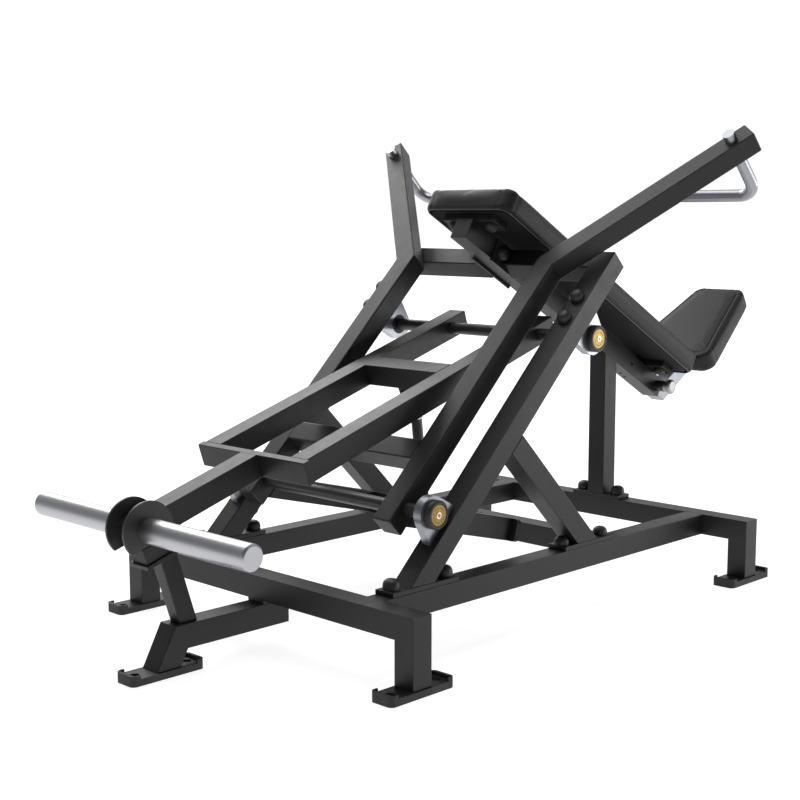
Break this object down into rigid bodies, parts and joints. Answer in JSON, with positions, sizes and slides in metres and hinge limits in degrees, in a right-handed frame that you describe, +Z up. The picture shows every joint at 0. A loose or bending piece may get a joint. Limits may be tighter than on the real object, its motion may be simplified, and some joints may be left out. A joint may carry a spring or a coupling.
{
  "type": "reclined shoulder press machine",
  "caption": "Plate-loaded reclined press machine with an inclined back pad, rear seat, hand press frame, weight lever, link rod and floor frame.",
  "frame": {"origin": "centre of the footprint box at floor level", "axes": "+Z up, +X from the weight end towards the seat end, +Y to the left-hand side of the machine seen from the weight end looking to the seat"},
  "size_m": [2.1168, 1.1352, 1.0869],
  "materials": {
    "frame_black": "satin",
    "silver_steel": "satin",
    "chrome": "polished",
    "gold": "satin",
    "black_rubber": "matte",
    "black_plastic": "matte",
    "pad_vinyl": "satin",
    "board": "matte",
    "black_steel": "satin"
  },
  "bodies": {
    "base": {"front_crossbar": "frame_black", "rear_crossbar": "frame_black", "front_legs": "frame_black", "rear_legs": "frame_black", "left_side_rail": "frame_black", "right_side_rail": "frame_black", "floor_cross_tube": "frame_black", "centre_extension_tube": "frame_black", "centre_leg": "frame_black", "foot_plates": "frame_black", "rubber_feet": "black_rubber", "stop_post": "frame_black", "stop_plate": "frame_black", "stop_bumper": "black_rubber", "left_upright": "frame_black", "right_upright": "frame_black", "frame_flanges": "frame_black", "left_rear_brace": "frame_black", "right_rear_brace": "frame_black", "rear_post": "frame_black", "upper_cross_tubes": "frame_black", "backrest_side_plates": "frame_black", "backrest_tube": "frame_black", "seat_guide_liner": "black_plastic", "pad_mounting_bars": "frame_black", "back_pad_board": "board", "back_pad": "pad_vinyl", "bearing_housings": "silver_steel", "bearing_bushes": "black_plastic", "dome_bolts": "black_plastic", "pull_pin_housing": "black_steel"},
    "press_frame": {"left_press_tube": "frame_black", "right_press_tube": "frame_black", "left_press_arm": "frame_black", "right_press_arm": "frame_black", "left_hand_grip": "chrome", "right_hand_grip": "chrome", "press_cross_tube": "frame_black", "link_arms": "frame_black", "link_plate": "frame_black", "lower_link_lug": "frame_black", "lower_shaft": "black_steel", "lower_shaft_caps": "gold"},
    "weight_lever": {"left_lever_rail": "frame_black", "right_lever_rail": "frame_black", "lever_front_plate": "frame_black", "lever_cross_tube": "frame_black", "lever_centre_tube": "frame_black", "plate_horns": "chrome", "horn_collars": "black_steel", "upper_link_lug": "frame_black", "upper_shaft": "black_steel", "upper_shaft_caps": "gold"},
    "link": {"link_rod": "black_steel", "link_eyes_and_pins": "silver_steel"},
    "seat_carriage": {"seat_slide_tube": "silver_steel", "seat_support_arm": "silver_steel", "seat_board": "board", "seat_pad": "pad_vinyl"},
    "pull_pin": {"pull_pin": "silver_steel"}
  },
  "joints": [
    {"name": "lever_hinge", "type": "hinge", "parent": "base", "child": "weight_lever", "pos_m": [-0.0004, 0, 0.61737], "axis": [0, 1, 0], "range_deg": [0, 22]},
    {"name": "press_hinge", "type": "hinge", "parent": "base", "child": "press_frame", "pos_m": [-0.51875, 0, 0.29822], "axis": [0, -1, 0], "range_deg": [0, 20.3]},
    {"name": "link_hinge", "type": "hinge", "parent": "weight_lever", "child": "link", "pos_m": [-0.24846, 0, 0.48257], "axis": [0, -1, 0], "range_deg": [0, 32.9]},
    {"name": "seat_slide", "type": "slide", "parent": "base", "child": "seat_carriage", "axis": [0.8733, 0, -0.4871], "range_m": [0, 0.1]},
    {"name": "pull_pin_slide", "type": "slide", "parent": "base", "child": "pull_pin", "axis": [0, -1, 0], "range_m": [0, 0.012], "stiffness_N_per_m": 1500}
  ],
  "couplings": [
    {"joint": "press_hinge", "follows": "lever_hinge", "ratio": 0.92},
    {"joint": "link_hinge", "follows": "lever_hinge", "ratio": 1.49}
  ]
}
